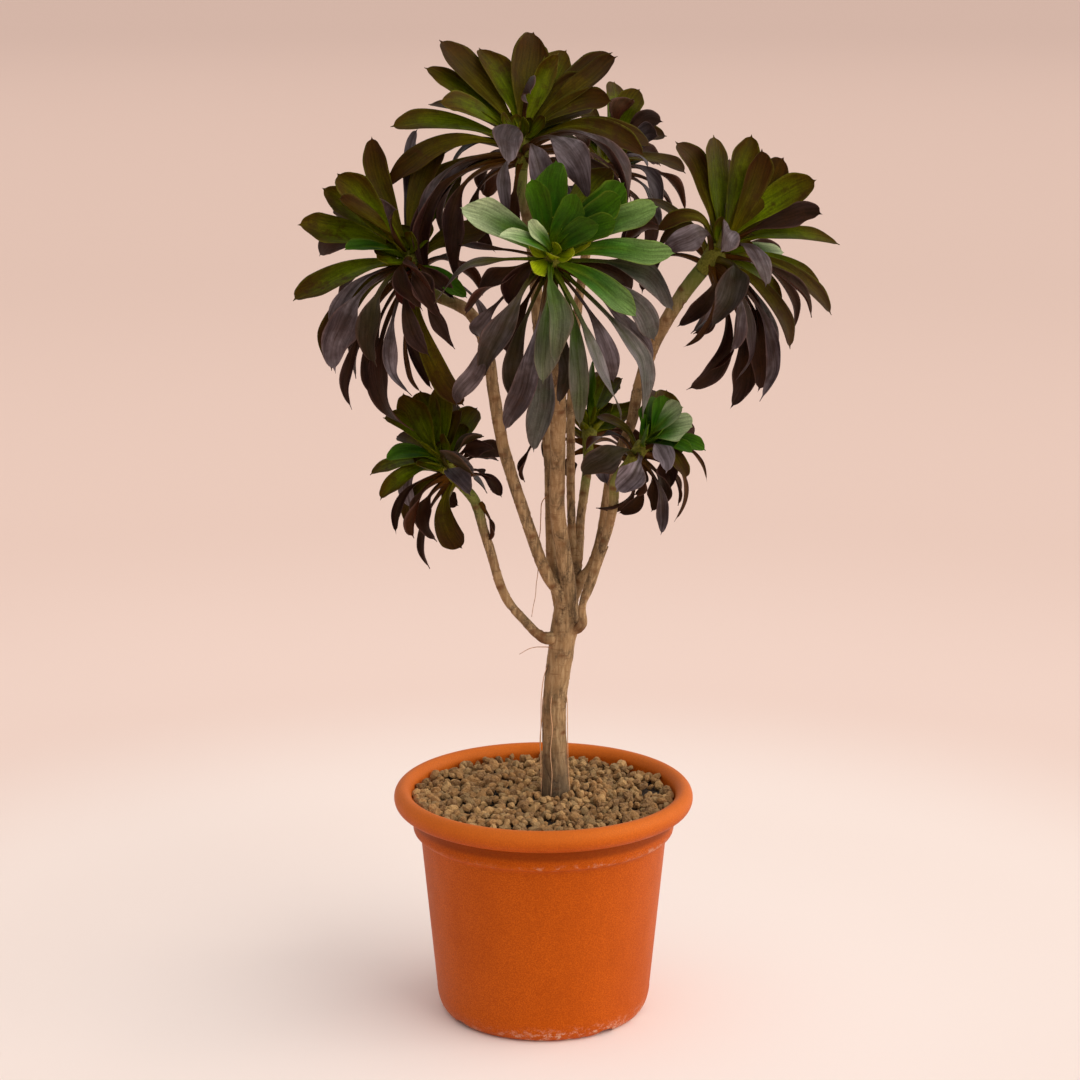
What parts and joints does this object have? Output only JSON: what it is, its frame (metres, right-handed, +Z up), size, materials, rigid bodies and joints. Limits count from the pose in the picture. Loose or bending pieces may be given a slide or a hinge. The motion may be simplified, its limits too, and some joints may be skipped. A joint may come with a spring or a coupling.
{
  "type": "potted aeonium",
  "caption": "Branched succulent with leafy rosettes on bare woody stems, growing in gravel-topped mix in a tapered round pot with a rolled rim.",
  "frame": {"origin": "middle of the pot's flat underside, on the surface it stands on", "axes": "+Z up; -Y is the front, the side the large green rosette faces; +X is to the right seen from the front"},
  "size_m": [0.326, 0.2258, 0.616],
  "materials": {
    "pot_plastic": "matt terracotta-orange moulded plastic, finely speckled",
    "potting_mix": "dark crumbly compost",
    "gravel_stone": "dry porous pumice gravel, beige to brown",
    "bark": "grey-tan bark with leaf scars, greener near the tips",
    "leaf": "waxy satin, green when young and dark purple-brown when old",
    "aerial_root": "dry brown root"
  },
  "bodies": {
    "root": {"pot": "pot_plastic", "potting_mix": "potting_mix", "gravel": "gravel_stone", "trunk": "bark", "front_branch": "bark", "top_branch": "bark", "back_branch": "bark", "left_branch": "bark", "right_branch": "bark", "lower_left_branch": "bark", "lower_right_branch": "bark", "inner_branch": "bark", "front_rosette": "leaf", "top_rosette": "leaf", "back_rosette": "leaf", "left_rosette": "leaf", "right_rosette": "leaf", "lower_left_rosette": "leaf", "lower_right_rosette": "leaf", "inner_rosette": "leaf", "lower_stem_leaf": "leaf", "upper_stem_leaf": "leaf", "hanging_root": "aerial_root", "side_rootlet": "aerial_root"}
  },
  "joints": []
}
